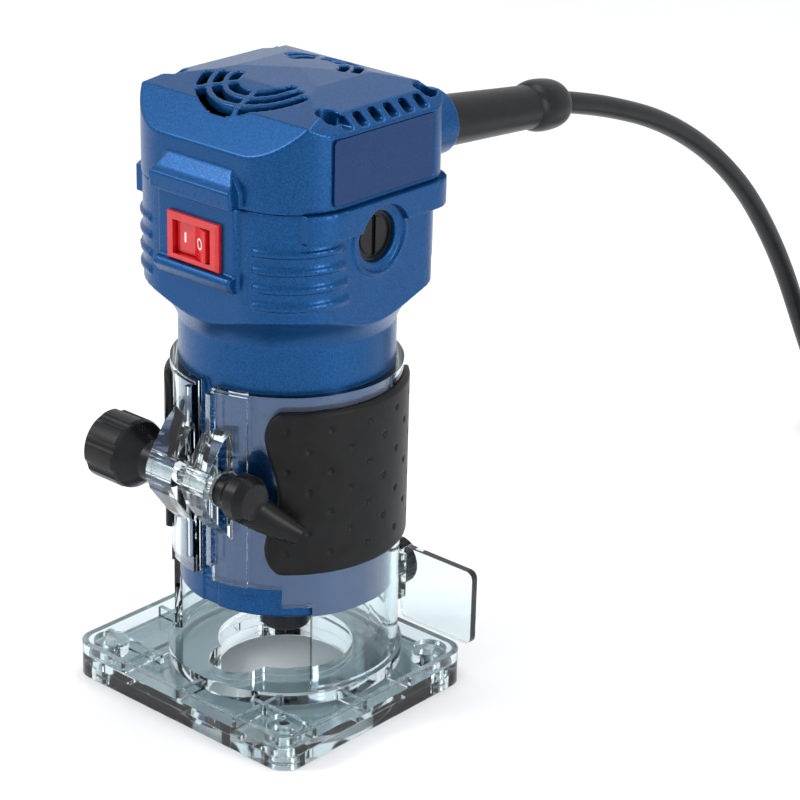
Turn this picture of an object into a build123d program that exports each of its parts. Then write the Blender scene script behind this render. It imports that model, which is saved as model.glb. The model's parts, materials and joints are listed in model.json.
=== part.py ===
from build123d import *
import math
import os

# Trim router. Millimetres, +Z up. The origin is on the spindle axis, in the plane of the sole's underside.
# The switch, the clamp split and the depth rack face -Y (front); the name panel faces +X (right).

# Motor unit
BARREL_R = 32.5
BARREL_WALL = 2.9
BARREL_BOTTOM = 34.2
HEAD_BASE = 120.0
SPLIT_Z = 163.5
BRUSH_Z = 151.5
CORE_Z = (76.0, 121.0)
SCREW_XY = [(-30, -16), (30, -16), (-30, 24.5), (30, 24.5)]
SWITCH = dict(width=20.6, height=14.2, z=150.8, face=-37.6)
ROCKER_AXIS_Y = -36.4
ROCKER_WING = 13
ROCKER_REST = 11

CLAMP_BAR_X = (10.8, 25.2)
CLAMP_BAR_Y = (20.6, 25.6)
CLAMP_SCREW_X = (12.7, 23.3)

# Base
SLEEVE_IN = BARREL_R + 0.06
SLEEVE_OUT = 35.0
SLEEVE_TOP = 106.0
BASE_HALF_X = 45.8
BASE_FRONT = -47.5
BASE_BACK = 34.0
BASE_CORNER = 7.0
SOLE_T = 4.4
TRAY_TOP = 10.9
SCREW_INSET = 8.4
OPENING_R = 21.0
GRIP_OUT = 36.8
GRIP_Z = (49.6, 101.8)
SPLIT_HALF = 3.3

# Clamp and depth drive, coaxial along X
CLAMP_Y = -38.5
CLAMP_Z = 77.6
GEAR_MODULE = 0.7
GEAR_TEETH = 14
PITCH_R = GEAR_MODULE * GEAR_TEETH / 2
PRESSURE = math.radians(20)
BACKLASH = 0.12
RACK_Z = (40.0, 101.0)
RACK_HALF = 2.6

# Cord, laid from the strain relief to the coil
CORD_R = 3.5
TIE_T = 0.6
COIL_CENTRE = (58.0, 300.0)
COIL_OUTER = 47.0
COIL_TURN_GAP = 7.0
CORD_ROUTE = [
    (18, 103.8, 166.5), (18, 117, 163.3), (18, 134, 158.2), (18, 154, 151.0), (18, 174, 141.0),
    (18, 193, 128.6), (18, 211, 113.4), (17.5, 227, 96), (17, 242, 76.5), (16, 255.5, 56),
    (15, 268, 36.5), (13.5, 281, 20), (12.2, 294.5, 10), (11.8, 308, 5.1), (13.4, 321.2, 4.1),
]
TAIL_ROUTE = [
    (101.2, 306, 10.2), (101.2, 293.5, 10.5), (99.6, 281, 11.1), (96.9, 269, 11.2), (94.6, 257, 9.8),
    (93.6, 245, 8.2), (93.6, 234, 7.8),
]
PLUG_REAR = (93.6, 234, 7.8)
PLUG_LENGTH = 46.0
PIN_LENGTH = 19.0


def cyl(r, z0, z1, x=0.0, y=0.0):
    return Pos(x, y, (z0 + z1) / 2) * Cylinder(r, z1 - z0)


def tube(r_out, r_in, z0, z1, x=0.0, y=0.0):
    return cyl(r_out, z0, z1, x, y) - cyl(r_in, z0 - 1, z1 + 1, x, y)


def cyl_x(r, x0, x1, y=0.0, z=0.0):
    return Pos((x0 + x1) / 2, y, z) * Rot(0, 90, 0) * Cylinder(r, x1 - x0)


def cyl_y(r, y0, y1, x=0.0, z=0.0):
    return Pos(x, (y0 + y1) / 2, z) * Rot(90, 0, 0) * Cylinder(r, y1 - y0)


def block(x0, x1, y0, y1, z0, z1):
    return Pos((x0 + x1) / 2, (y0 + y1) / 2, (z0 + z1) / 2) * Box(x1 - x0, y1 - y0, z1 - z0)


def turned(points):
    """A solid turned about the Z axis from (radius, height) points."""
    return revolve(make_face(Plane.XZ * Polyline(*points, close=True)), axis=Axis.Z)


def turned_x(points, y=CLAMP_Y, z=CLAMP_Z):
    """A solid turned about the clamp axis from (x, radius) points."""
    face = make_face(Polyline(*points, close=True))
    return Pos(0, y, z) * revolve(face, axis=Axis.X)


def sector(r_in, r_out, a0, a1, z0, z1):
    """Part of a ring between two angles in degrees."""
    corners = [(r_in, z0), (r_out, z0), (r_out, z1), (r_in, z1)]
    face = make_face(Plane.XZ * Polyline(*corners, close=True))
    return Rot(0, 0, a0) * revolve(face, axis=Axis.Z, revolution_arc=a1 - a0)


def along_x(points, x0, x1):
    """A bar along X whose section is a polygon of (y, z) points."""
    face = make_face(Plane.YZ * Polyline(*points, close=True))
    return Pos(x0, 0, 0) * extrude(face, amount=x1 - x0, dir=(1, 0, 0))


def along_y(points, y0, y1):
    """A bar along Y whose section is a polygon of (x, z) points."""
    face = make_face(Plane.XZ * Polyline(*points, close=True))
    return Pos(0, y0, 0) * extrude(face, amount=y1 - y0, dir=(0, 1, 0))


def rounded_plan(x_half, y_front, y_back, r_front, r_back):
    """A rectangle seen from above, with its own corner radii at the front and at the back."""
    corners = [(-x_half, y_front), (x_half, y_front), (x_half, y_back), (-x_half, y_back)]
    face = make_face(Polyline(*corners, close=True))
    middle = (y_front + y_back) / 2
    face = fillet([v for v in face.vertices() if v.Y < middle], r_front)
    return fillet([v for v in face.vertices() if v.Y > middle and abs(v.X) > x_half - 0.01], r_back)


def prism(face, z0, z1):
    return extrude(Pos(0, 0, z0) * face, amount=z1 - z0, dir=(0, 0, 1))


def both_sides(shape):
    return shape + mirror(shape, about=Plane.YZ)


def ring_of(shape, count):
    pieces = [Rot(0, 0, 360 * i / count) * shape for i in range(count)]
    return pieces[0].fuse(*pieces[1:])


# ---------------------------------------------------------------- motor unit: shells

def neck_limit():
    """Turned envelope that blends the square head into the round barrel."""
    edges = [
        Line((0, HEAD_BASE - 4), (BARREL_R, HEAD_BASE - 4)),
        Line((BARREL_R, HEAD_BASE - 4), (BARREL_R, HEAD_BASE)),
        ThreePointArc((BARREL_R, HEAD_BASE), (35.4, 125.6), (42.5, 131.5)),
        Line((42.5, 131.5), (58, 139)),
        Line((58, 139), (58, SPLIT_Z)),
        Line((58, SPLIT_Z), (0, SPLIT_Z)),
        Line((0, SPLIT_Z), (0, HEAD_BASE - 4)),
    ]
    return revolve(make_face([Plane.XZ * e for e in edges]), axis=Axis.Z)


def head_ribs():
    """Short raised ribs that run round both front corners."""
    ribs = []
    for i, z in enumerate((152.6, 147.4, 142.0, 136.8)):
        plan = rounded_plan(36.3, -36.8, 20, 20.6, 6)
        rib = prism(plan, z - 1.5, z) & block(20.8, 40, -40, -15 + i, z - 2, z + 1)
        ribs.append(both_sides(rib))
    return ribs


def belt():
    plan = rounded_plan(38.5, -36, 32, 20, 10)
    return prism(plan, 155.2, SPLIT_Z) & block(-40, 40, -28, 40, 150, SPLIT_Z)


def switch_front():
    """The block that carries the rocker switch, with a sloping chin under it."""
    corners = [(-30, 138.5), (-38, 138.5), (-40.4, 141.6), (-39.4, 143.4), (-37.6, 143.4),
               (-37.6, SPLIT_Z), (-30, SPLIT_Z)]
    return along_x(corners, -15.2, 15.2)


def rack_teeth():
    """Involute rack: straight flanks at the pressure angle, on the front of the barrel."""
    pitch = math.pi * GEAR_MODULE
    line = CLAMP_Y + PITCH_R
    tip, root = line - 0.5, line + 0.88
    half = pitch / 4 - BACKLASH / 2
    at_tip = half - 0.5 * math.tan(PRESSURE)
    at_root = half + 0.88 * math.tan(PRESSURE)
    first = math.ceil((RACK_Z[0] - CLAMP_Z) / pitch + 0.5)
    last = math.floor((RACK_Z[1] - CLAMP_Z) / pitch - 0.5)
    outline = [(root + 2.2, RACK_Z[0]), (root, RACK_Z[0])]
    for i in range(first, last):
        middle = CLAMP_Z + (i + 0.5) * pitch
        outline += [(root, middle - at_root), (tip, middle - at_tip)]
        outline += [(tip, middle + at_tip), (root, middle + at_root)]
    outline += [(root, RACK_Z[1]), (root + 2.2, RACK_Z[1])]
    return along_x(outline, -RACK_HALF, RACK_HALF)


def direction_arrow():
    """Shallow engraved arrow for the cutter's turning direction, near the barrel's lower edge."""
    shaft = [(-7, -0.8), (5, -0.8), (5, 0.8), (-7, 0.8)]
    head = [(-7, -2), (-7, 2), (-11, 0)]
    depth = -BARREL_R + 0.4
    return [Rot(0, 0, 24) * Pos(0, 0, 39.6) * along_y(outline, -40, depth) for outline in (shaft, head)]


def motor_housing():
    inner = BARREL_R - BARREL_WALL
    plan = rounded_plan(35.5, -36, 29, 20, 9)
    head = prism(plan, HEAD_BASE - 4, SPLIT_Z) & neck_limit()
    body = cyl(BARREL_R, BARREL_BOTTOM, HEAD_BASE) + head + belt() + switch_front()
    for rib in head_ribs():
        body += rib
    body += both_sides(cyl_x(11.4, 28, 36.6, z=BRUSH_Z))
    cavity = prism(rounded_plan(32.4, -33, 26, 17.5, 6.5), 134, SPLIT_Z + 1)
    body -= cavity
    body -= cyl(inner, 52, 135)
    body += both_sides(cyl_x(9.6, 24, 35.3, z=BRUSH_Z))
    for x, y in SCREW_XY:
        body += cyl(3.6, 139, SPLIT_Z, x, y)
    body -= tube(inner, 18.2, 41.6, 53)
    body -= cyl(9.0, 30, 43)
    body -= cyl(13.02, 42, 60)
    body -= cyl(18.2, 50.2, 60)
    body -= ring_of(sector(20.5, 27.5, -13, 13, 30, 43), 8)
    body -= both_sides(cyl_x(10.2, 35.3, 45, z=BRUSH_Z))
    body -= both_sides(cyl_x(7.55, 29.4, 45, z=BRUSH_Z))
    body -= both_sides(block(9, 30, -5.05, 5.05, BRUSH_Z - 4.05, BRUSH_Z + 4.05))
    w, h, z = SWITCH["width"], SWITCH["height"], SWITCH["z"]
    body -= block(-w / 2 + 0.9, w / 2 - 0.9, -45, -28, z - h / 2 + 0.7, z + h / 2 - 0.7)
    body += cord_saddle()
    for x, y in SCREW_XY:
        body -= cyl(1.45, 141, SPLIT_Z + 1, x, y)
    for a in (90, 210, 330):
        x, y = 15.6 * math.cos(math.radians(a)), 15.6 * math.sin(math.radians(a))
        body -= cyl(1.2, 44, 51, x, y)
    recess_half = RACK_HALF + 0.02
    body -= block(-recess_half, recess_half, -36, -BARREL_R + 0.35, RACK_Z[0] - 0.01, RACK_Z[1] + 0.01)
    body += rack_teeth()
    for piece in direction_arrow():
        body -= piece
    return body


def cover_profile(inset=0.0):
    """The cover's outside, or its inside at an inset: a plan cut by a side profile and a front profile."""
    i = inset
    plan = prism(rounded_plan(36.6 - i, -36 + i, 30.6 - i, 21 - i, 9 - i * 0.8), SPLIT_Z - 1, 200)
    side = [(-45, 150), (-45, 170), (-36 + i, 178.8 - i), (-26.5 + i * 0.5, 188.2 - i),
            (-12, 191.8 - i), (4, 193.2 - i), (18, 192.3 - i), (26 - i * 0.5, 190.4 - i),
            (30.6 - i, 186 - i), (45, 171), (45, 150)]
    front = [(-50, 150), (-50, 171), (-36.6 + i, 185 - i), (-31 + i * 0.5, 189.6 - i),
             (-16, 192.4 - i), (0, 193.2 - i), (16, 192.4 - i), (31 - i * 0.5, 189.6 - i),
             (36.6 - i, 185 - i), (50, 171), (50, 150)]
    return plan & along_x(side, -50, 50) & along_y(front, -50, 50)


def grille_slots():
    """Two mirrored sets of three crescent slots, bridged by thin ribs."""
    slots = []
    for cy, a0, a1 in ((-7.5, 182, 358), (8.7, 8, 172)):
        outer = 3 if cy < 0 else 2
        for k in range(outer):
            r = 9.2 + 4.6 * k if cy < 0 else 8.4 + 4.2 * k
            shrink = 4 + 5 * k
            slots.append(Pos(0, cy, 0) * sector(r, r + 2.9, a0 + shrink, a1 - shrink, 180, 200))
    ribs = [Pos(0, -7.5, 0) * Rot(0, 0, a) * block(8, 24, -0.9, 0.9, 178, 202) for a in (222, 285)]
    ribs += [Pos(0, 8.7, 0) * Rot(0, 0, a) * block(7, 20, -0.9, 0.9, 178, 202) for a in (60, 120)]
    return [slot - ribs[0] - ribs[1] - ribs[2] - ribs[3] for slot in slots]


def hood():
    corners = [(-30, SPLIT_Z), (-40, SPLIT_Z), (-40.6, 168.6), (-38.6, 170.2), (-35.2, 175.6), (-30, 175.6)]
    solid = along_x(corners, -16.2, 16.2)
    return solid - both_sides(along_y([(16.4, 168), (11.2, 177), (16.4, 177)], -50, -20))


def cord_axis_z(y):
    """Height of the strain relief's sloping axis at a distance behind the spindle."""
    return 172.5 - 0.0975 * (y - 43)


def top_cover():
    body = cover_profile() + hood()
    body += cyl_y(10.2, 26, 43, x=18, z=cord_axis_z(36)) & block(0, 34, 26, 43, SPLIT_Z, 190)
    body -= cover_profile(2.6) & block(-50, 50, -50, 50, SPLIT_Z - 2, 200)
    body -= block(-50, 50, -50, 50, 150, SPLIT_Z)
    for x, y in SCREW_XY:
        body += cyl(4.6, SPLIT_Z, 189, x, y) & cover_profile(0.2)
    body += tube(16.2, 13.6, 166, 191.5) & cover_profile(0.5)
    for slot in grille_slots():
        body -= slot
    for x, y in SCREW_XY:
        body -= cyl(3.5, 176, 200, x, y)
        body -= cyl(1.75, SPLIT_Z - 1, 200, x, y)
    body -= cord_section([(20, 7.98), (50, 7.98)])
    for i in range(6):
        body -= block(30, 40, -14.6 + 6.3 * i, -11.2 + 6.3 * i, 185.6, 188.6)
    body -= block(35.8, 40, -20, 22, 165.0, 184.2)
    for x in (-21.5, 21.5):
        body -= cyl(4.2, 168, 200, x * 1.62, -35.6)
    return body


def label_panel():
    plate = block(35.82, 36.7, -19.9, 21.9, 165.1, 184.1)
    corners = [e for e in plate.edges().filter_by(Axis.X)]
    return fillet(corners, 1.6)


# ---------------------------------------------------------------- motor unit: contents

def switch_body():
    """The switch's case and its framed front, with the well that the rocker turns in."""
    w, h, z, face = (SWITCH[k] for k in ("width", "height", "z", "face"))
    bezel = block(-w / 2, w / 2, face - 1.8, face - 0.02, z - h / 2, z + h / 2)
    bezel = chamfer(bezel.faces().sort_by(Axis.Y)[0].edges(), 0.7)
    case = block(-w / 2 + 1, w / 2 - 1, face - 0.1, face + 14, z - h / 2 + 0.8, z + h / 2 - 0.8)
    body = bezel + case
    body -= block(-7.5, 7.5, face - 3, face + 8, z - 5.1, z + 5.1)
    body -= cyl(0.82, z - 5.7, z + 5.7, 0, ROCKER_AXIS_Y)
    for x in (-4.8, 4.8):
        body += block(x - 0.4, x + 0.4, face + 13.9, face + 20, z - 3, z + 3)
    return body


def switch_rocker():
    """A rocker with two faces that meet at a shallow angle; it turns about an upright pin."""
    z = SWITCH["z"]
    wing, reach, centre = math.tan(math.radians(ROCKER_WING)), 6.8, -1.2
    outline = [(-reach, centre - reach * wing), (0, centre), (reach, centre - reach * wing),
               (reach, 1.6), (2.2, 4.0), (-2.2, 4.0), (-reach, 1.6)]
    bar = prism(make_face(Polyline(*outline, close=True)), z - 4.8, z + 4.8)
    rocker = bar & cyl(7.2, z - 5, z + 5)
    rocker -= cyl(0.85, z - 6, z + 6)
    return Pos(0, ROCKER_AXIS_Y, 0) * Rot(0, 0, -ROCKER_REST) * rocker


def switch_pin():
    z = SWITCH["z"]
    return cyl(0.8, z - 5.68, z + 5.68, 0, ROCKER_AXIS_Y)


def stator_core():
    core = tube(BARREL_R - BARREL_WALL - 0.02, 17.2, *CORE_Z)
    for a in (35, 215):
        core -= sector(17.9, 24.2, a, a + 110, CORE_Z[0] - 1, CORE_Z[1] + 1)
    return core


def field_coils():
    low, high = CORE_Z[0] - 6, CORE_Z[1] + 7
    coils = []
    for a in (36, 216):
        coil = sector(18.0, 24.1, a, a + 108, low, high)
        coil -= sector(17, 26, a + 22, a + 86, CORE_Z[0] - 0.05, CORE_Z[1] + 0.05)
        coils.append(coil)
    return Compound(children=coils)


def stator_teeth():
    """Pole shoes inside the coils, part of the laminated stack."""
    return [sector(17.3, 24.2, a, a + 62, CORE_Z[0], CORE_Z[1]) for a in (59, 239)]


def rotor_shaft():
    outline = [(0, 40.5), (4.6, 40.5), (4.6, 26), (6.0, 26), (6.0, 41.7), (4.98, 41.7), (4.98, 62.5),
               (5.0, 62.5), (5.0, 140), (4.5, 140), (4.5, 162.8), (3.98, 162.8), (3.98, 171), (0, 171)]
    return turned(outline)


def rotor_core():
    core = tube(16.6, 5.0, *CORE_Z)
    slot = block(9.5, 20, -1.1, 1.1, CORE_Z[0] - 1, CORE_Z[1] + 1)
    return core - ring_of(slot, 12)


def rotor_windings():
    top = tube(15.4, 5.3, CORE_Z[1] + 0.05, CORE_Z[1] + 10)
    bottom = tube(15.4, 5.3, CORE_Z[0] - 5.5, CORE_Z[0] - 0.05)
    ends = [fillet(top.edges().filter_by(GeomType.CIRCLE).group_by(SortBy.RADIUS)[-1], 2.4),
            fillet(bottom.edges().filter_by(GeomType.CIRCLE).group_by(SortBy.RADIUS)[-1], 1.6)]
    return Compound(children=ends)


def commutator():
    drum = tube(10.0, 4.52, 141, 160)
    slot = block(9.2, 11, -0.25, 0.25, 144, 161)
    return drum - ring_of(slot, 24)


def cooling_fan():
    hub = tube(8.0, 5.02, 55, 66) + tube(26.5, 7.5, 64.6, 66)
    blade = Pos(17, 0, 60) * Rot(0, 0, 24) * Box(17, 1.2, 9.4)
    return hub + ring_of(blade, 9)


def ball_bearing(r_in, r_out, z0, z1):
    """Two races and a sealed cage, joined as one piece."""
    groove = 0.45
    step = (r_out - r_in) * 0.27
    ring = tube(r_out, r_in, z0, z1)
    gap = tube(r_out - step, r_in + step, z0 - 1, z0 + groove)
    return ring - gap - Pos(0, 0, z1 - z0 + 1 - groove) * gap


def bearing_bush():
    return tube(13.55, 11.02, 163.2, 171.4) + tube(13.55, 9.5, 170.3, 171.4)


def bearing_retainer():
    plate = tube(18.0, 6.6, 50.25, 51.8)
    for a in (90, 210, 330):
        x, y = 15.6 * math.cos(math.radians(a)), 15.6 * math.sin(math.radians(a))
        plate -= cyl(1.45, 49, 53, x, y)
    return plate


def retainer_screws():
    screws = []
    for a in (90, 210, 330):
        x, y = 15.6 * math.cos(math.radians(a)), 15.6 * math.sin(math.radians(a))
        screw = cyl(1.18, 45, 51.9, x, y) + cyl(2.3, 51.82, 53.6, x, y)
        screws.append(screw - block(x - 2.5, x + 2.5, y - 0.3, y + 0.3, 52.9, 54))
    return Compound(children=screws)


def air_baffle():
    ring = turned([(22, 67), (29.5, 67), (29.5, 69.4), (27, 69.4), (22, 68.4)])
    return ring


def brush_holders():
    tube_right = block(11.2, 29.3, -5.0, 5.0, BRUSH_Z - 4.0, BRUSH_Z + 4.0)
    tube_right -= block(10, 30, -4.1, 4.1, BRUSH_Z - 3.1, BRUSH_Z + 3.1)
    return Compound(children=[tube_right, mirror(tube_right, about=Plane.YZ)])


def carbon_brushes():
    brush = block(10.0, 23.0, -4.0, 4.0, BRUSH_Z - 3.0, BRUSH_Z + 3.0) - cyl(10.06, 140, 165)
    return Compound(children=[brush, mirror(brush, about=Plane.YZ)])


def brush_springs():
    path = Helix(pitch=1.15, height=5.2, radius=2.1)
    section = Plane(origin=path @ 0, z_dir=path % 0) * Circle(0.3)
    coil = Pos(23.45, 0, BRUSH_Z) * Rot(0, 90, 0) * sweep(section, path=path)
    return Compound(children=[coil, mirror(coil, about=Plane.YZ)])


def brush_caps():
    cap = cyl_x(7.5, 29.5, 33.8, z=BRUSH_Z) - block(32.6, 35, -0.8, 0.8, BRUSH_Z - 6, BRUSH_Z + 6)
    cap = cap - cyl_x(6.6, 33.2, 34, z=BRUSH_Z) + (cyl_x(5.6, 33.1, 33.6, z=BRUSH_Z)
                                                 - block(32.6, 35, -0.8, 0.8, BRUSH_Z - 6, BRUSH_Z + 6))
    return Compound(children=[cap, mirror(cap, about=Plane.YZ)])


def housing_screws():
    screws = []
    for x, y in SCREW_XY:
        screw = cyl(1.4, 146, 176.2, x, y) + cyl(2.9, 176.05, 178.2, x, y)
        cross = block(x - 1.6, x + 1.6, y - 0.4, y + 0.4, 177, 179)
        cross += block(x - 0.4, x + 0.4, y - 1.6, y + 1.6, 177, 179)
        screws.append(screw - cross)
    return Compound(children=screws)


def capacitor():
    can = block(-25.4, -8, 17.5, 25.5, 139, 150)
    leads = cyl(0.5, 149.9, 156, -24, 21.5) + cyl(0.5, 149.9, 156, -12, 21.5)
    return can + leads


def cord_section(points):
    """A shape lofted along Y through round sections given as (y, radius)."""
    sections = [Plane(origin=(18, y, cord_axis_z(y)), x_dir=(1, 0, 0), z_dir=(0, 1, 0)) * Circle(r)
                for y, r in points]
    return loft(sections)


def strain_relief():
    sleeve = cord_section([(28, 7.9), (43, 7.9), (60, 7.55), (75, 7.15), (86.5, 6.9)])
    bulb = cord_section([(86.5, 6.9), (89.5, 8.05), (96, 8.1), (100, 7.3), (102.5, 5.4)])
    return sleeve + bulb - inner_lead(0.04)


def inner_lead(gap=0.0):
    """The cord's fixed length, from the clamp inside the cover to near the end of the strain relief."""
    return cord_section([(20, 3.4 + gap), (101.5, 3.4 + gap)])


def cord_saddle():
    """Post on the housing with a groove that the cord lies in."""
    post = block(*CLAMP_BAR_X, *CLAMP_BAR_Y, 150, cord_axis_z(23) - 0.6) - inner_lead(0.05)
    for x in CLAMP_SCREW_X:
        post -= cyl(0.95, 160, 180, x, 23)
    return post


def cord_clamp():
    bar = block(*CLAMP_BAR_X, *CLAMP_BAR_Y, cord_axis_z(23) + 0.2, cord_axis_z(23) + 5.4) - inner_lead(0.03)
    for x in CLAMP_SCREW_X:
        bar -= cyl(1.3, 160, 190, x, 23)
    return bar


def cord_clamp_screws():
    top = cord_axis_z(23) + 5.42
    screws = []
    for x in CLAMP_SCREW_X:
        screw = cyl(0.93, 164, top + 0.1, x, 23) + cyl(2.0, top, top + 1.5, x, 23)
        screws.append(screw - block(x - 2.5, x + 2.5, 22.7, 23.3, top + 0.9, top + 2))
    return Compound(children=screws)


# ---------------------------------------------------------------- collet

def collet():
    body = turned([(3.0, 18.7), (4.1, 18.7), (5.5, 22.4), (5.5, 25.8), (4.52, 25.8), (4.52, 40), (3.0, 40)])
    slit = block(2, 7, -0.4, 0.4, 17, 34)
    return body - ring_of(slit, 4)


def collet_nut():
    outline = [(3.9, 16.6), (7.3, 16.6), (7.9, 17.4), (7.9, 32.6), (7.4, 33.4), (6.06, 33.4), (6.06, 23.4),
               (3.9, 18.2)]
    nut = turned(outline)
    flats = prism(RegularPolygon(7.55, 6, major_radius=False), 15, 25.5)
    return nut & (flats + cyl(9, 25.5, 35))


# ---------------------------------------------------------------- base

def base_outline(inset=0.0):
    return rounded_plan(BASE_HALF_X - inset, BASE_FRONT + inset, BASE_BACK - inset,
                        BASE_CORNER - inset, BASE_CORNER - inset)


def base_screw_places():
    x = BASE_HALF_X - SCREW_INSET
    return [(-x, BASE_FRONT + SCREW_INSET), (x, BASE_FRONT + SCREW_INSET),
            (-x, BASE_BACK - SCREW_INSET), (x, BASE_BACK - SCREW_INSET)]


def cutter_opening(z0, z1):
    """Keyhole opening: a round hole on the spindle axis with a smaller lobe to the front."""
    return cyl(OPENING_R, z0, z1) + cyl(9.5, z0, z1, 0, -OPENING_R + 1)


def tray():
    floor = prism(base_outline(), SOLE_T + 0.02, SOLE_T + 2.2)
    rim = prism(base_outline(), SOLE_T + 1, TRAY_TOP) - prism(base_outline(2.0), SOLE_T, TRAY_TOP + 1)
    plate = floor + rim + cyl(36.4, SOLE_T + 1, TRAY_TOP)
    plate += cyl(12, SOLE_T + 1, TRAY_TOP, 0, -OPENING_R + 1)
    for x in (-24, 0, 24):
        plate += block(x - 0.8, x + 0.8, BASE_FRONT + 1, -20, SOLE_T + 1, TRAY_TOP - 1)
    for y in (-34, -12, 8):
        plate += both_sides(block(20, BASE_HALF_X - 1, y - 0.8, y + 0.8, SOLE_T + 1, TRAY_TOP - 1))
    for x, y in base_screw_places():
        plate += cyl(5.4, SOLE_T + 1, TRAY_TOP, x, y)
    return plate


def sleeve():
    wall = cyl(SLEEVE_OUT, TRAY_TOP - 1, SLEEVE_TOP)
    right_hub = cyl_x(6.0, 11, 20, CLAMP_Y, CLAMP_Z)
    left_hub = cyl_x(7.0, -24, -13, CLAMP_Y, CLAMP_Z)
    for a, hub in ((-84, right_hub), (-115.2, left_hub)):
        wall += sector(SLEEVE_OUT - 1, SLEEVE_OUT + 0.9, a, a + 19.2, 44, SLEEVE_TOP - 0.6) - hub
    wall += both_sides(block(SPLIT_HALF, SPLIT_HALF + 1.9, -37.4, -30, 50, SLEEVE_TOP - 1))
    wall += block(0, 18, 26, 36.1, 18, 33)
    return wall


def ear(x0, x1):
    """One clamp ear: a round boss on a web that runs up and down the sleeve."""
    web = [(-33, 58.5), (-37.5, 63), (-44.6, 72.2), (-45.6, 77.6), (-44.6, 83), (-38, 92), (-33, 95.5)]
    return along_x(web, x0, x1) + cyl_x(7.6, x0, x1, CLAMP_Y, CLAMP_Z)


def base_frame():
    body = tray() + sleeve() + ear(-13, -2.35) + ear(2.35, 11)
    body -= cyl(SLEEVE_IN, TRAY_TOP, SLEEVE_TOP + 1)
    body -= cutter_opening(0, 20)
    body -= block(-SPLIT_HALF, SPLIT_HALF, -36.2, -20, 30, SLEEVE_TOP + 2)
    body -= block(-2.35, 2.35, -60, -20, 30, SLEEVE_TOP + 2)
    window = sector(30, 40, -145, -33, TRAY_TOP, 38.5) + sector(30, 40, -132, -48, 38, 44.5)
    body -= window
    body -= cyl_x(3.6, -20, 0, CLAMP_Y, CLAMP_Z)
    body -= cyl_x(2.6, 0, 20, CLAMP_Y, CLAMP_Z)
    body -= cyl_y(2.55, 32, 40, x=9, z=25.5)
    for x, y in base_screw_places():
        body -= cyl(1.7, 0, TRAY_TOP + 1, x, y)
    return body


def sole_plate():
    plate = prism(base_outline(), 0, SOLE_T) - cutter_opening(-1, SOLE_T + 1)
    for x, y in base_screw_places():
        plate -= cyl(2.1, -1, SOLE_T + 1, x, y)
        plate -= cyl(3.9, -1, 2.2, x, y)
    return plate


def sole_screws():
    screws = []
    for x, y in base_screw_places():
        screw = cyl(1.66, 0.7, TRAY_TOP - 0.3, x, y) + cyl(3.6, 0.5, 2.15, x, y)
        screws.append(screw - block(x - 2.2, x + 2.2, y - 0.45, y + 0.45, 0, 1.3))
    return Compound(children=screws)


def grip_pad():
    """Right grip pad: a curved rubber plate with waisted front and back edges."""
    pad = sector(SLEEVE_OUT + 0.02, GRIP_OUT, -57, 57, *GRIP_Z)
    waist_r, bite = 24, 4.2
    for a in (-57, 57):
        side = 1 if a > 0 else -1
        cutter = Pos(GRIP_OUT, side * (waist_r - bite), 78) * Rot(0, 90, 0) * Cylinder(waist_r, 12)
        pad -= Rot(0, 0, a) * cutter
    return pad


# ---------------------------------------------------------------- clamp and depth drive

def pinion():
    """Involute pinion outline, meshing with the rack with one gap centred towards +Y."""
    base_r = PITCH_R * math.cos(PRESSURE)
    tip_r = PITCH_R + GEAR_MODULE
    root_r = PITCH_R - 0.5 - 0.2
    inv = math.tan(PRESSURE) - PRESSURE
    half_at_pitch = math.pi / (2 * GEAR_TEETH) - BACKLASH / (4 * PITCH_R)
    flank = []
    for i in range(7):
        r = base_r + (tip_r - base_r) * i / 6
        a = math.acos(min(1.0, base_r / r))
        flank.append((r, half_at_pitch + inv - (math.tan(a) - a)))
    points = []
    for k in range(GEAR_TEETH):
        # the tooth towards +Y enters the gap between two rack teeth at the clamp's height
        centre = math.pi / 2 + 2 * math.pi * k / GEAR_TEETH
        side = [(root_r, flank[0][1])] + flank
        for r, h in side:
            points.append((r * math.cos(centre - h), r * math.sin(centre - h)))
        for r, h in reversed(side):
            points.append((r * math.cos(centre + h), r * math.sin(centre + h)))
    return make_face(Polyline(*points, close=True))


def pinion_shaft():
    # the face's own Y axis becomes the row's +Y, so the first tooth points at the rack
    gear = extrude(Plane(origin=(-2, CLAMP_Y, CLAMP_Z), x_dir=(0, 0, -1), z_dir=(1, 0, 0)) * pinion(), amount=4)
    shaft = cyl_x(3.55, -34, -2, CLAMP_Y, CLAMP_Z) + gear
    return shaft - cyl_x(2.55, -40, 10, CLAMP_Y, CLAMP_Z)


def depth_knob():
    body = turned_x([(-37.5, 0), (-37.5, 9.6), (-36.4, 10.7), (-25, 10.7), (-23.6, 10.2), (-18, 6.2),
                     (-13.4, 5.4), (-13.4, 0)])
    flute = cyl_x(2.5, -40, -24.4, CLAMP_Y + 12.2, CLAMP_Z)
    for k in range(8):
        turn = Pos(0, CLAMP_Y, CLAMP_Z) * Rot(45 * k + 22.5, 0, 0) * Pos(0, -CLAMP_Y, -CLAMP_Z)
        body -= turn * flute
    body -= cyl_x(3.57, -34.1, 0, CLAMP_Y, CLAMP_Z)
    body -= cyl_x(5.0, -38, -34, CLAMP_Y, CLAMP_Z)
    body -= cyl_x(6.6, -38, -36.85, CLAMP_Y, CLAMP_Z)
    return body


def knob_cap():
    return cyl_x(6.58, -37.5, -36.87, CLAMP_Y, CLAMP_Z)


def clamp_bolt():
    head_plane = Plane(origin=(-36.4, CLAMP_Y, CLAMP_Z), z_dir=(1, 0, 0))
    head = extrude(head_plane * RegularPolygon(4.6, 6), amount=2.1)
    return head + cyl_x(2.5, -34.4, 17.3, CLAMP_Y, CLAMP_Z)


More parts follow.
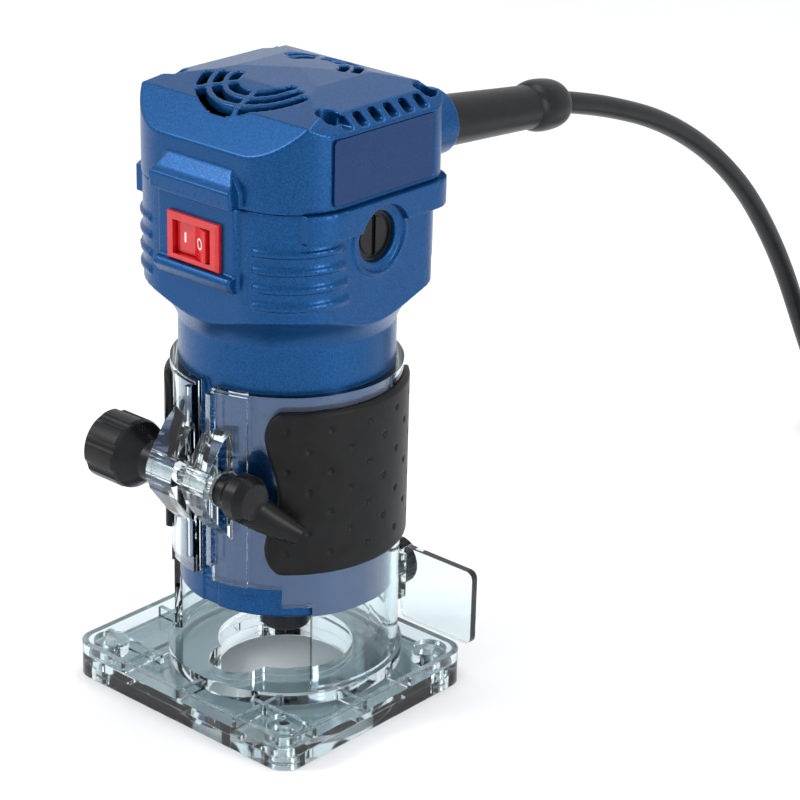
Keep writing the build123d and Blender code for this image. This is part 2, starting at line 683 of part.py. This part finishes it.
def clamp_washer():
    return cyl_x(5.2, 11.02, 12.0, CLAMP_Y, CLAMP_Z) - cyl_x(2.56, 10, 13, CLAMP_Y, CLAMP_Z)


def lever_insert():
    return cyl_x(4.0, 12.3, 18.0, CLAMP_Y, CLAMP_Z) - cyl_x(2.56, 11, 17.7, CLAMP_Y, CLAMP_Z)


def clamp_lever():
    hub = turned_x([(12.3, 0), (12.3, 5.2), (15.6, 5.2), (18.2, 7.2), (22, 7.2), (24.6, 5.4), (25.4, 0)])
    spots = [
        ((18.5, -38, 76), 5.8), ((23.4, -34.6, 72), 5.0), ((28, -30.6, 68.4), 4.0), ((31.8, -27.4, 65.8), 2.9),
    ]
    direction = (Vector(*spots[-1][0]) - Vector(*spots[0][0])).normalized()
    sections = [Plane(origin=p, x_dir=(0, 0.64, 0.77), z_dir=direction) * Ellipse(r, r * 0.7) for p, r in spots]
    lever = hub + loft(sections)
    return lever - cyl_x(4.02, 12, 18.1, CLAMP_Y, CLAMP_Z)


# ---------------------------------------------------------------- chip shield

def chip_shield():
    plate = make_face(Polyline((15.5, 9.9), (44.8, 9.9), (44.8, 35), (15.5, 35), close=True))
    plate = fillet(plate.vertices(), 2.6)
    lug = make_face(Polyline((-2.5, 19), (18, 19), (18, 32), (-2.5, 32), close=True))
    shield = extrude(Plane.XZ.offset(-36.4) * (plate + lug), amount=2.5, dir=(0, 1, 0))
    slot = block(5, 13, 35, 40, 22.9, 28.1) + cyl_y(2.6, 35, 40, 5, 25.5) + cyl_y(2.6, 35, 40, 13, 25.5)
    return shield - slot


def shield_thumbscrew():
    head = cyl_y(7.7, 39.25, 44.8, x=9, z=25.5)
    head = chamfer(head.edges().filter_by(GeomType.CIRCLE), 0.7)
    for k in range(24):
        a = math.radians(15 * k)
        head -= cyl_y(0.5, 39, 45, x=9 + 7.85 * math.cos(a), z=25.5 + 7.85 * math.sin(a))
    return head + cyl_y(2.5, 33.4, 39.3, x=9, z=25.5)


# ---------------------------------------------------------------- free cord and plug

def corner_radii(points):
    radii = []
    for a, b, c in zip(points, points[1:], points[2:]):
        first, second = Vector(*b) - Vector(*a), Vector(*c) - Vector(*b)
        turn = math.radians(first.get_angle(second))
        radii.append(0.45 * min(first.length, second.length) / math.tan(turn / 2))
    return radii


def cord_tube(points):
    radii = corner_radii(points)
    print("cord radii", [round(r, 1) for r in radii])
    path = FilletPolyline(*points, radius=radii)
    start = Plane(origin=path @ 0, z_dir=path % 0) * Circle(CORD_R)
    solid = sweep(start, path=path)
    print("cord length", round(path.length, 1), "volume ratio",
          round(solid.volume / (math.pi * CORD_R ** 2 * path.length), 4))
    return solid


def power_cord():
    return Compound(children=[cord_tube(CORD_ROUTE), cord_tube(TAIL_ROUTE)])


def coil_section(grow=0.0):
    """Outline of the bundled turns: four side by side, three lying in the gaps on top of them."""
    g = grow
    low, shoulder, top = TIE_T - g, TIE_T + 2 * CORD_R, TIE_T + 2 * CORD_R * 1.87 + g
    inner, outer = COIL_OUTER - 3 * COIL_TURN_GAP - CORD_R - g, COIL_OUTER + CORD_R + g
    roof = [(outer, shoulder), (outer - CORD_R, top), (inner + CORD_R, top), (inner, shoulder)]
    return [(inner, low), (outer, low)] + roof


def cord_coil():
    return Pos(*COIL_CENTRE, 0) * turned(coil_section())


def cord_tie():
    strap = revolve(make_face(Plane.XZ * Polyline(*coil_section(TIE_T - 0.02), close=True)), axis=Axis.Z,
                    revolution_arc=11)
    strap -= turned(coil_section(0.02))
    return Pos(*COIL_CENTRE, 0) * Rot(0, 0, 84) * strap


def plug_body():
    """Flat contour plug lying beside the coil: a tapered outline cut by a tapered side view."""
    half = [(3.8, 0), (5.2, 16), (12, 28), (15.9, 38), (15.9, PLUG_LENGTH)]
    outline = [(-x, -y) for x, y in half] + [(x, -y) for x, y in reversed(half)]
    plan = fillet(make_face(Polyline(*outline, close=True)).vertices(), 1.6)
    under = [(0, -4), (-16, -5), (-34, -7.4), (-PLUG_LENGTH, -7.4)]
    side = under + [(y, -z) for y, z in reversed(under)]
    return Pos(*PLUG_REAR) * (prism(plan, -10, 10) & along_x(side, -20, 20))


def plug_pins():
    x, y, z = PLUG_REAR
    face = y - PLUG_LENGTH - 0.02
    return Compound(children=[cyl_y(2.4, face - PIN_LENGTH, face, x=x + dx, z=z) for dx in (-9.5, 9.5)])


def main():
    os.makedirs("parts", exist_ok=True)
    core = stator_core()
    for tooth in stator_teeth():
        core += tooth
    pad = grip_pad()
    parts = {
        "motor_housing": motor_housing(), "top_cover": top_cover(), "label_panel": label_panel(),
        "housing_screws": housing_screws(), "switch_body": switch_body(), "switch_rocker": switch_rocker(),
        "switch_pin": switch_pin(), "stator_core": core, "field_coils": field_coils(),
        "rotor_shaft": rotor_shaft(), "rotor_core": rotor_core(), "rotor_windings": rotor_windings(),
        "commutator": commutator(), "cooling_fan": cooling_fan(),
        "lower_bearing": ball_bearing(5.0, 13.0, 42.02, 50.02),
        "upper_bearing": ball_bearing(4.0, 11.0, 163.2, 170.2),
        "bearing_bush": bearing_bush(), "bearing_retainer": bearing_retainer(),
        "retainer_screws": retainer_screws(),
        "air_baffle": air_baffle(), "brush_holders": brush_holders(), "carbon_brushes": carbon_brushes(),
        "brush_springs": brush_springs(), "brush_caps": brush_caps(), "capacitor": capacitor(),
        "strain_relief": strain_relief(), "inner_lead": inner_lead(), "cord_clamp": cord_clamp(),
        "cord_clamp_screws": cord_clamp_screws(),
        "collet": collet(), "collet_nut": collet_nut(), "base_frame": base_frame(), "sole_plate": sole_plate(),
        "sole_screws": sole_screws(), "grip_pad_right": pad, "grip_pad_left": mirror(pad, about=Plane.YZ),
        "pinion_shaft": pinion_shaft(), "depth_knob": depth_knob(), "knob_cap": knob_cap(),
        "clamp_bolt": clamp_bolt(),
        "clamp_washer": clamp_washer(), "lever_insert": lever_insert(), "clamp_lever": clamp_lever(),
        "chip_shield": chip_shield(), "shield_thumbscrew": shield_thumbscrew(), "power_cord": power_cord(),
        "cord_coil": cord_coil(), "cord_tie": cord_tie(), "plug_body": plug_body(), "plug_pins": plug_pins(),
    }
    for name, shape in parts.items():
        export_step(shape, f"parts/{name}.step")


if __name__ == "__main__":
    main()
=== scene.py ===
import bpy
import json
import math
from mathutils import Matrix, Vector


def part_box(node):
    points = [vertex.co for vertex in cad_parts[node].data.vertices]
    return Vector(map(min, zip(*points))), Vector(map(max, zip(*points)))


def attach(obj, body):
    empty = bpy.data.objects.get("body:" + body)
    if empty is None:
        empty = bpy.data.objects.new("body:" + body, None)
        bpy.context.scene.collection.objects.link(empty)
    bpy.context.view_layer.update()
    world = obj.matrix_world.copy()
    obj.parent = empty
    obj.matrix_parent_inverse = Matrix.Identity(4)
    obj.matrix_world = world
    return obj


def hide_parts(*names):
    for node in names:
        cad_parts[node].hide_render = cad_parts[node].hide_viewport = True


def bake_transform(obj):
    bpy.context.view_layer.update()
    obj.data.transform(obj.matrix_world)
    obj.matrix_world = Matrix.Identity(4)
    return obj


# Trim router. Metres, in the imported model's frame: the origin is on the spindle axis under the sole,
# the front is -Y and +Z is up.
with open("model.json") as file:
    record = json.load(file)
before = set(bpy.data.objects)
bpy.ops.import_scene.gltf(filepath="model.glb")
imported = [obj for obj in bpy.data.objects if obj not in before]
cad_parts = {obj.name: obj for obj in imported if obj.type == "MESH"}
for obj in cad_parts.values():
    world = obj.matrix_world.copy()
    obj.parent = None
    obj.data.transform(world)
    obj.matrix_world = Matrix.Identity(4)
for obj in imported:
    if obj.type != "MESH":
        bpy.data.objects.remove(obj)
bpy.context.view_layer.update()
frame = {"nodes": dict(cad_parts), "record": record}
MM = 0.001


# ---------------------------------------------------------------- small helpers

def mm(*values):
    """Millimetres to a vector in metres."""
    return Vector(values) * MM


def add_mesh(name, vertices, faces, body, smooth=True):
    mesh = bpy.data.meshes.new(name)
    mesh.from_pydata([tuple(v) for v in vertices], [], faces)
    mesh.update()
    mesh.polygons.foreach_set("use_smooth", [smooth] * len(mesh.polygons))
    piece = bpy.data.objects.new(name, mesh)
    bpy.context.scene.collection.objects.link(piece)
    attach(piece, body)
    return piece


def dress(piece, material):
    piece.data.materials.clear()
    piece.data.materials.append(material)
    return piece


def node(name):
    return frame["nodes"][name]


def apply_modifiers(piece):
    depsgraph = bpy.context.evaluated_depsgraph_get()
    depsgraph.update()
    mesh = bpy.data.meshes.new_from_object(piece.evaluated_get(depsgraph))
    piece.modifiers.clear()
    piece.data = mesh


def soften(name, piece_name, body, voxel, rounds, keep):
    """A copy of a CAD node, remeshed finely and relaxed so that every moulded edge is rounded."""
    piece = bpy.data.objects.new(piece_name, node(name).data.copy())
    bpy.context.scene.collection.objects.link(piece)
    remesh = piece.modifiers.new("remesh", "REMESH")
    remesh.mode = "VOXEL"
    remesh.voxel_size = voxel * MM
    relax = piece.modifiers.new("relax", "SMOOTH")
    relax.factor = 0.5
    relax.iterations = rounds
    thin = piece.modifiers.new("thin", "DECIMATE")
    thin.ratio = keep
    apply_modifiers(piece)
    piece.data.polygons.foreach_set("use_smooth", [True] * len(piece.data.polygons))
    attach(piece, body)
    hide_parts(name)
    return piece


# ---------------------------------------------------------------- materials

class Recipe:
    """A node material built up step by step round one Principled shader."""

    def __init__(self, name, color, roughness, **settings):
        self.material = bpy.data.materials.new(name)
        self.material.use_nodes = True
        self.nodes = self.material.node_tree.nodes
        self.links = self.material.node_tree.links
        self.shader = self.nodes["Principled BSDF"]
        self.shader.inputs["Base Color"].default_value = (*color, 1)
        self.shader.inputs["Roughness"].default_value = roughness
        for key, value in settings.items():
            self.shader.inputs[key.replace("_", " ")].default_value = value
        self.place = self.nodes.new("ShaderNodeTexCoord").outputs["Object"]
        self.bump_normal = None

    def noise(self, size, detail=3.0, roughness=0.55, stretch=None):
        """Noise whose features are about size millimetres across."""
        texture = self.nodes.new("ShaderNodeTexNoise")
        texture.inputs["Scale"].default_value = 1000 / size
        texture.inputs["Detail"].default_value = detail
        texture.inputs["Roughness"].default_value = roughness
        source = self.place
        if stretch:
            scale = self.nodes.new("ShaderNodeMapping")
            scale.inputs["Scale"].default_value = stretch
            self.links.new(source, scale.inputs["Vector"])
            source = scale.outputs["Vector"]
        self.links.new(source, texture.inputs["Vector"])
        return texture.outputs["Fac"]

    def ramp(self, value, low, high, from_low=0.3, from_high=0.7):
        spread = self.nodes.new("ShaderNodeMapRange")
        spread.inputs["From Min"].default_value = from_low
        spread.inputs["From Max"].default_value = from_high
        spread.inputs["To Min"].default_value = low
        spread.inputs["To Max"].default_value = high
        self.links.new(value, spread.inputs["Value"])
        return spread.outputs["Result"]

    def vary_color(self, value, first, second):
        mix = self.nodes.new("ShaderNodeMix")
        mix.data_type = "RGBA"
        mix.inputs["A"].default_value = (*first, 1)
        mix.inputs["B"].default_value = (*second, 1)
        self.links.new(value, mix.inputs["Factor"])
        self.links.new(mix.outputs["Result"], self.shader.inputs["Base Color"])

    def vary_roughness(self, value, low, high):
        self.links.new(self.ramp(value, low, high), self.shader.inputs["Roughness"])

    def bump(self, value, height, strength=1.0):
        """Relief of the given height in millimetres."""
        relief = self.nodes.new("ShaderNodeBump")
        relief.inputs["Strength"].default_value = strength
        relief.inputs["Distance"].default_value = height * MM
        self.links.new(value, relief.inputs["Height"])
        if self.bump_normal:
            self.links.new(self.bump_normal, relief.inputs["Normal"])
        self.bump_normal = relief.outputs["Normal"]
        self.links.new(self.bump_normal, self.shader.inputs["Normal"])

    def round_edges(self, radius, samples=4):
        """Edges that catch the light as if rounded to the given radius in millimetres."""
        bevel = self.nodes.new("ShaderNodeBevel")
        bevel.samples = samples
        bevel.inputs["Radius"].default_value = radius * MM
        if self.bump_normal:
            self.links.new(self.bump_normal, bevel.inputs["Normal"])
        self.bump_normal = bevel.outputs["Normal"]
        self.links.new(self.bump_normal, self.shader.inputs["Normal"])


def housing_blue():
    recipe = Recipe("housing_blue", (0.002, 0.04, 0.15), 0.3, Metallic=0.6, Specular_IOR_Level=0.2,
                    Coat_Weight=0.12, Coat_Roughness=0.2)
    grain = recipe.noise(0.4, 4, 0.6)
    recipe.vary_color(recipe.ramp(grain, 0, 1), (0.001, 0.026, 0.1), (0.005, 0.09, 0.27))
    recipe.vary_roughness(recipe.noise(0.6, 3), 0.26, 0.4)
    recipe.bump(grain, 0.05, 0.35)
    return recipe.material


def label_blue():
    recipe = Recipe("label_blue", (0.002, 0.03, 0.12), 0.26, Metallic=0.5, Specular_IOR_Level=0.25,
                    Coat_Weight=0.15, Coat_Roughness=0.12)
    grain = recipe.noise(0.5, 2)
    recipe.vary_color(recipe.ramp(grain, 0, 1), (0.001, 0.022, 0.09), (0.002, 0.036, 0.13))
    recipe.bump(grain, 0.015, 0.2)
    return recipe.material


def black_moulding(name, roughness, grain_size, height, shade=0.005, edge=0.25, gloss=0.15):
    """Black plastic or rubber with a fine grain and slightly paler patches."""
    dark = (shade, shade, shade * 1.08)
    lift = shade * 1.7
    pale = (lift, lift, lift * 1.06)
    recipe = Recipe(name, dark, roughness, Specular_IOR_Level=gloss)
    grain = recipe.noise(grain_size, 4, 0.6)
    recipe.vary_color(recipe.ramp(recipe.noise(6, 2), 0, 1), dark, pale)
    recipe.vary_roughness(grain, roughness - 0.06, roughness + 0.08)
    recipe.bump(grain, height, 0.5)
    if edge:
        recipe.round_edges(edge)
    return recipe.material


def switch_red():
    recipe = Recipe("switch_red", (0.55, 0.004, 0.007), 0.24, Coat_Weight=0.3, Coat_Roughness=0.1)
    recipe.vary_color(recipe.ramp(recipe.noise(3, 2), 0, 1), (0.5, 0.003, 0.006), (0.6, 0.006, 0.01))
    recipe.bump(recipe.noise(0.3, 2), 0.01, 0.2)
    recipe.round_edges(0.25)
    return recipe.material


def print_white():
    recipe = Recipe("print_white", (0.85, 0.82, 0.8), 0.45)
    recipe.vary_color(recipe.ramp(recipe.noise(0.3, 2), 0, 1), (0.8, 0.76, 0.74), (0.9, 0.88, 0.86))
    return recipe.material


def clear_plastic():
    recipe = Recipe("clear_plastic", (0.87, 0.965, 0.985), 0.03, Transmission_Weight=1.0, IOR=1.49)
    recipe.vary_roughness(recipe.noise(12, 3), 0.015, 0.05)
    recipe.bump(recipe.noise(9, 2), 0.05, 0.12)
    recipe.round_edges(0.35)
    return recipe.material


def metal(name, color, roughness, brushed=None, edge=0.15):
    recipe = Recipe(name, color, roughness, Metallic=1.0)
    grain = recipe.noise(0.5, 3, 0.6, stretch=brushed)
    dark = tuple(c * 0.8 for c in color)
    recipe.vary_color(recipe.ramp(recipe.noise(4, 3), 0, 1), dark, color)
    recipe.vary_roughness(grain, roughness * 0.8, roughness * 1.25)
    recipe.bump(grain, 0.01, 0.4)
    if edge:
        recipe.round_edges(edge)
    return recipe.material


BLUE = housing_blue()
LABEL = label_blue()
GRIP = black_moulding("grip_rubber", 0.42, 0.35, 0.03, edge=0, gloss=0.16)
PLASTIC = black_moulding("black_plastic", 0.3, 0.4, 0.025, gloss=0.2)
RUBBER = black_moulding("cord_rubber", 0.34, 0.5, 0.025, shade=0.006, edge=0, gloss=0.2)
RED = switch_red()
WHITE = print_white()
CLEAR = clear_plastic()
STEEL = metal("steel", (0.62, 0.62, 0.63), 0.28)
NUT = metal("nut_black", (0.05, 0.05, 0.055), 0.38)
COPPER = metal("copper", (0.74, 0.3, 0.14), 0.35)
IRON = metal("lamination", (0.32, 0.32, 0.33), 0.45, (1, 1, 6))
BRASS = metal("brass", (0.8, 0.6, 0.28), 0.3)
CARBON = black_moulding("carbon", 0.6, 0.3, 0.02, shade=0.03)
NYLON = black_moulding("fan_nylon", 0.5, 0.4, 0.02, shade=0.35)
YELLOW = metal("capacitor_yellow", (0.7, 0.5, 0.06), 0.35)

SLOT_MATERIAL = {
    "housing_blue": BLUE, "label_blue": LABEL, "clear_plastic": CLEAR, "grip_rubber": GRIP,
    "black_plastic": PLASTIC, "cord_rubber": RUBBER, "switch_red": RED, "steel": STEEL, "nut_black": NUT,
    "copper": COPPER, "lamination": IRON, "brass": BRASS, "carbon": CARBON, "fan_plastic": NYLON,
    "capacitor_yellow": YELLOW,
}


def dress_cad_nodes():
    slots = {row["node"]: row["material_slot"] for row in frame["record"]["subparts"]}
    for name, slot in slots.items():
        dress(node(name), SLOT_MATERIAL[slot])


# ---------------------------------------------------------------- motor housing and cover

COVER_VOXEL, HOUSING_VOXEL = 0.42, 0.5
RELAX_ROUNDS = 2
FACES_KEPT = 0.45
RACK_HALF_WIDTH = 3.0
RACK_FRONT = -30.6
RACK_RELIEF = 0.55


def clear_rack(piece):
    """The remesh rounds the rack's teeth, so they are set back to leave the pinion its running clearance."""
    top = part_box("base_frame")[1][2]
    for vertex in piece.data.vertices:
        x, y, z = vertex.co
        if abs(x) < RACK_HALF_WIDTH * MM and y < RACK_FRONT * MM and z < top:
            vertex.co.y = y + RACK_RELIEF * MM


def build_mouldings():
    """The two blue castings, with the soft edges of moulded plastic."""
    cover = soften("top_cover", "cover_moulding", "motor_unit", COVER_VOXEL, RELAX_ROUNDS, FACES_KEPT)
    dress(cover, BLUE)
    housing = soften("motor_housing", "housing_moulding", "motor_unit", HOUSING_VOXEL, RELAX_ROUNDS, FACES_KEPT)
    clear_rack(housing)
    dress(housing, BLUE)


# ---------------------------------------------------------------- grip pads

PAD_INNER, PAD_OUTER = 35.04, 36.78
PAD_LOW, PAD_HIGH = 49.7, 101.7
PAD_HALF = 57.0
PAD_CORNER = 9.0
PAD_CORNER_TURN = 10.5
PAD_WAIST = 6.6
PAD_EDGE = 1.3
PAD_STEP = 0.42
DIMPLE_R, DIMPLE_DEPTH = 1.35, 0.62
DIMPLE_COLUMNS = 10
DIMPLE_PITCH = 10.2
DIMPLE_ROWS = 13.0
LONG_COLUMN = (57.3, 4)
SHORT_COLUMN = (63.8, 3)


def ease(t):
    """0 to 1 with a soft start and a soft end."""
    t = min(1.0, max(0.0, t))
    return t * t * (3 - 2 * t)


def pad_half_angle(z):
    """Half of the pad's width at a height, in degrees: round corners, and a waist half way up."""
    rise = (z - PAD_LOW) / (PAD_HIGH - PAD_LOW)
    waist = PAD_WAIST * math.sin(math.pi * rise) ** 4
    to_end = min(z - PAD_LOW, PAD_HIGH - z)
    corner = 1 - math.sqrt(max(0.0, 1 - (1 - min(1.0, to_end / PAD_CORNER)) ** 2))
    return PAD_HALF - waist - PAD_CORNER_TURN * corner


def dimple_places():
    """Dimple centres as angle and height: columns of four and of three by turns, half a step apart."""
    places = []
    for column in range(DIMPLE_COLUMNS):
        angle = DIMPLE_PITCH * (column - (DIMPLE_COLUMNS - 1) / 2)
        first, count = LONG_COLUMN if column % 2 == 0 else SHORT_COLUMN
        places += [(angle, first + DIMPLE_ROWS * row) for row in range(count)]
    return places


def pad_relief(angle, z, places):
    """Outer radius of the rubber: a rounded rim and round dimples."""
    arc = math.radians(1) * PAD_OUTER
    to_rim = min(z - PAD_LOW, PAD_HIGH - z, (pad_half_angle(z) - abs(angle)) * arc)
    fall = 1 - min(1.0, max(0.0, to_rim) / PAD_EDGE)
    radius = PAD_INNER + (PAD_OUTER - PAD_INNER) * math.sqrt(max(0.0, 1 - fall * fall))
    for place_angle, place_z in places:
        away = math.hypot((angle - place_angle) * arc, z - place_z)
        if away < DIMPLE_R:
            radius -= DIMPLE_DEPTH * ease(1.25 * (1 - away / DIMPLE_R))
    return radius


def build_pad(name, replaced, side):
    """A closed rubber pad; side is 1 on the right and -1 on the left."""
    across = int(2 * math.radians(PAD_HALF) * PAD_OUTER / PAD_STEP)
    up = int((PAD_HIGH - PAD_LOW) / PAD_STEP)
    places = dimple_places()
    vertices = []
    for layer in ("outer", "inner"):
        for row in range(up + 1):
            z = PAD_LOW + (PAD_HIGH - PAD_LOW) * row / up
            for column in range(across + 1):
                angle = (2 * column / across - 1) * pad_half_angle(z)
                radius = pad_relief(angle, z, places) if layer == "outer" else PAD_INNER
                turn = math.radians(angle)
                vertices.append(mm(side * radius * math.cos(turn), radius * math.sin(turn), z))
    wide = across + 1
    back = (up + 1) * wide
    faces = []
    for row in range(up):
        for column in range(across):
            a = row * wide + column
            faces.append((a, a + 1, a + 1 + wide, a + wide))
            faces.append((back + a, back + a + wide, back + a + 1 + wide, back + a + 1))
    rim = list(range(across)) + [row * wide + across for row in range(up)]
    rim += [up * wide + column for column in range(across, 0, -1)] + [row * wide for row in range(up, 0, -1)]
    for here, there in zip(rim, rim[1:] + rim[:1]):
        faces.append((here, back + here, back + there, there))
    if side < 0:
        faces = [tuple(reversed(face)) for face in faces]
    piece = add_mesh(name, vertices, faces, "base")
    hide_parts(replaced)
    return dress(piece, GRIP)


# ---------------------------------------------------------------- marks on the rocker

ROCKER_AXIS = (0.0, -36.4, 150.8)
ROCKER_REST = 11
WING_CENTRE, WING_TIP, WING_REACH = -1.2, -2.77, 6.8
MARK_PROUD, MARK_SUNK = 0.06, -0.04
RING_X, RING_OUTER, RING_INNER = 3.6, 1.7, 1.25
RING_POINTS = 28


def on_wing(x, up, lift):
    """A place on the rocker's face: x across, up along Z, lift out of the face."""
    slope = (WING_TIP - WING_CENTRE) / WING_REACH
    y = WING_CENTRE + slope * abs(x) - lift
    turn = math.radians(-ROCKER_REST)
    return mm(ROCKER_AXIS[0] + x * math.cos(turn) - y * math.sin(turn),
              ROCKER_AXIS[1] + x * math.sin(turn) + y * math.cos(turn), ROCKER_AXIS[2] + up)


def rocker_mark(name, outer, inner=None):
    """A thin printed mark between one closed outline and, for a ring, another inside it."""
    count = len(outer)
    top = [on_wing(x, z, MARK_PROUD) for x, z in outer]
    under = [on_wing(x, z, MARK_SUNK) for x, z in outer]
    if inner is None:
        faces = [tuple(range(count)), tuple(reversed(range(count, 2 * count)))]
        faces += [(i, i + count, (i + 1) % count + count, (i + 1) % count) for i in range(count)]
        piece = add_mesh(name, top + under, faces, "rocker", smooth=False)
    else:
        top_in = [on_wing(x, z, MARK_PROUD) for x, z in inner]
        under_in = [on_wing(x, z, MARK_SUNK) for x, z in inner]
        faces = []
        for i in range(count):
            j = (i + 1) % count
            faces.append((i, j, 2 * count + j, 2 * count + i))
            faces.append((count + i, 3 * count + i, 3 * count + j, count + j))
            faces.append((i, count + i, count + j, j))
            faces.append((2 * count + i, 2 * count + j, 3 * count + j, 3 * count + i))
        piece = add_mesh(name, top + under + top_in + under_in, faces, "rocker", smooth=False)
    return dress(piece, WHITE)


def build_rocker_marks():
    bar = [(-3.9, -1.5), (-3.3, -1.5), (-3.3, 1.5), (-3.9, 1.5)]
    turns = [2 * math.pi * i / RING_POINTS for i in range(RING_POINTS)]
    outer = [(RING_X + RING_OUTER * math.cos(a), RING_OUTER * math.sin(a)) for a in turns]
    inner = [(RING_X + RING_INNER * math.cos(a), RING_INNER * math.sin(a)) for a in turns]
    rocker_mark("mark_on", bar)
    rocker_mark("mark_off", outer, inner)


# ---------------------------------------------------------------- cord

CORD_R = 3.5
COIL_CENTRE = (58.0, 300.0)
TIE_T = 0.6
CORD_ROUTE = [
    (18, 103.8, 166.5), (18, 117, 163.3), (18, 134, 158.2), (18, 154, 151.0), (18, 174, 141.0),
    (18, 193, 128.6), (18, 211, 113.4), (17.5, 227, 96), (17, 242, 76.5), (16, 255.5, 56),
    (15, 268, 36.5), (13.5, 281, 20), (12.2, 294.5, 10), (11.8, 308, 5.1),
]
TAIL_ROUTE = [
    (101.2, 293.5, 10.5), (99.6, 281, 11.1), (96.9, 269, 11.2), (94.6, 257, 9.8),
    (93.6, 245, 8.2), (93.6, 234, 7.8),
]
POINTS_A_TURN = 16
CROSSING_START = 0.75


def coil_points():
    """Four turns on the floor from the outside in, then two and a half in the gaps on top, going back out."""
    low, high = TIE_T + CORD_R, TIE_T + CORD_R + 2 * CORD_R * 0.87
    rings = [(47, low), (40, low), (33, low), (26, low), (29.5, high), (36.5, high), (43.5, high)]
    points = []
    for turn, (radius, height) in enumerate(rings):
        following = rings[min(turn + 1, len(rings) - 1)]
        steps = POINTS_A_TURN if turn < len(rings) - 1 else POINTS_A_TURN // 2 + 1
        for i in range(1 if turn == 0 else 0, steps):
            share = i / POINTS_A_TURN
            # a turn keeps its own ring, and crosses to the next one over its last quarter
            move = ease((share - CROSSING_START) / (1 - CROSSING_START))
            r = radius + (following[0] - radius) * move
            z = height + (following[1] - height) * move
            angle = math.pi - 2 * math.pi * share
            points.append((COIL_CENTRE[0] + r * math.cos(angle), COIL_CENTRE[1] + r * math.sin(angle), z))
    return points


def spline_object(name, points):
    data = bpy.data.curves.new(name, "CURVE")
    data.dimensions = "3D"
    spline = data.splines.new("NURBS")
    spline.points.add(len(points) - 1)
    for slot, place in zip(spline.points, points):
        slot.co = (*mm(*place), 1)
    spline.order_u = 3
    spline.use_endpoint_u = True
    spline.resolution_u = 8
    line = bpy.data.objects.new(name, data)
    bpy.context.scene.collection.objects.link(line)
    return line


def mesh_of(curve_object):
    depsgraph = bpy.context.evaluated_depsgraph_get()
    depsgraph.update()
    return bpy.data.meshes.new_from_object(curve_object.evaluated_get(depsgraph))


def build_cord():
    line = spline_object("cord_line", CORD_ROUTE + coil_points() + TAIL_ROUTE)
    path = [tuple(v.co) for v in mesh_of(line).vertices]
    line.data.bevel_depth = CORD_R * MM
    line.data.bevel_resolution = 5
    line.data.use_fill_caps = True
    skin = mesh_of(line)
    skin.name = "cord"
    bpy.data.objects.remove(line)
    piece = bpy.data.objects.new("cord", skin)
    bpy.context.scene.collection.objects.link(piece)
    skin.polygons.foreach_set("use_smooth", [True] * len(skin.polygons))
    dress(piece, RUBBER)
    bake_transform(piece)
    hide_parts("power_cord", "cord_coil")


# ---------------------------------------------------------------- stage and camera

FLOOR_HALF = 6.0
FLOOR_GAP = 0.0002


def build_floor():
    mesh = bpy.data.meshes.new("floor")
    half = FLOOR_HALF
    corners = [(-half, -half, 0), (half, -half, 0), (half, half, 0), (-half, half, 0)]
    mesh.from_pydata(corners, [], [(0, 1, 2, 3)])
    floor = bpy.data.objects.new("floor", mesh)
    bpy.context.scene.collection.objects.link(floor)
    floor.location.z = -FLOOR_GAP
    recipe = Recipe("floor_pale", (0.9, 0.9, 0.9), 0.6)
    recipe.vary_color(recipe.ramp(recipe.noise(90, 2), 0, 1), (0.89, 0.89, 0.89), (0.92, 0.92, 0.92))
    floor.data.materials.append(recipe.material)


def area_light(name, place, target, width, height, power, color=(1, 1, 1)):
    data = bpy.data.lights.new(name, "AREA")
    data.shape = "RECTANGLE"
    data.size = width
    data.size_y = height
    data.energy = power
    data.color = color
    lamp = bpy.data.objects.new(name, data)
    bpy.context.scene.collection.objects.link(lamp)
    lamp.location = place
    lamp.rotation_euler = (Vector(target) - Vector(place)).to_track_quat("-Z", "Y").to_euler()


def build_light():
    world = bpy.data.worlds.new("studio")
    bpy.context.scene.world = world
    world.use_nodes = True
    world.node_tree.nodes["Background"].inputs["Color"].default_value = (0.95, 0.97, 1, 1)
    world.node_tree.nodes["Background"].inputs["Strength"].default_value = 0.93
    area_light("key", (-0.55, -0.62, 0.85), (0, 0, 0.12), 0.3, 0.5, 5.5)
    area_light("right", (0.95, 0.1, 0.4), (0, 0, 0.12), 0.16, 0.7, 4)
    area_light("top", (0.05, 0.3, 0.95), (0, 0, 0.15), 0.5, 0.4, 2.5)


# Degrees and millimetres
CAMERA = dict(azimuth=41.121, elevation=22.809, roll=1.462, distance=746.07, target=(45.11, 0, 104.22),
              lens=116.5)


def build_camera():
    azimuth, elevation, roll = (math.radians(CAMERA[k]) for k in ("azimuth", "elevation", "roll"))
    back = Vector((math.sin(azimuth) * math.cos(elevation), -math.cos(azimuth) * math.cos(elevation),
                   math.sin(elevation)))
    right = Vector((math.cos(azimuth), math.sin(azimuth), 0))
    up = back.cross(right)
    turned_right = right * math.cos(roll) + up * math.sin(roll)
    turned_up = up * math.cos(roll) - right * math.sin(roll)
    data = bpy.data.cameras.new("camera")
    data.sensor_width = 36
    data.lens = CAMERA["lens"]
    camera = bpy.data.objects.new("camera", data)
    bpy.context.scene.collection.objects.link(camera)
    axes = Matrix((turned_right, turned_up, back)).transposed().to_4x4()
    camera.matrix_world = Matrix.Translation(mm(*CAMERA["target"]) + back * CAMERA["distance"] * MM) @ axes
    bpy.context.scene.camera = camera


dress_cad_nodes()
build_mouldings()
build_pad("grip_rubber_right", "grip_pad_right", 1)
build_pad("grip_rubber_left", "grip_pad_left", -1)
build_rocker_marks()
build_cord()
build_floor()
build_light()
build_camera()
bpy.context.scene.view_settings.view_transform = "Standard"
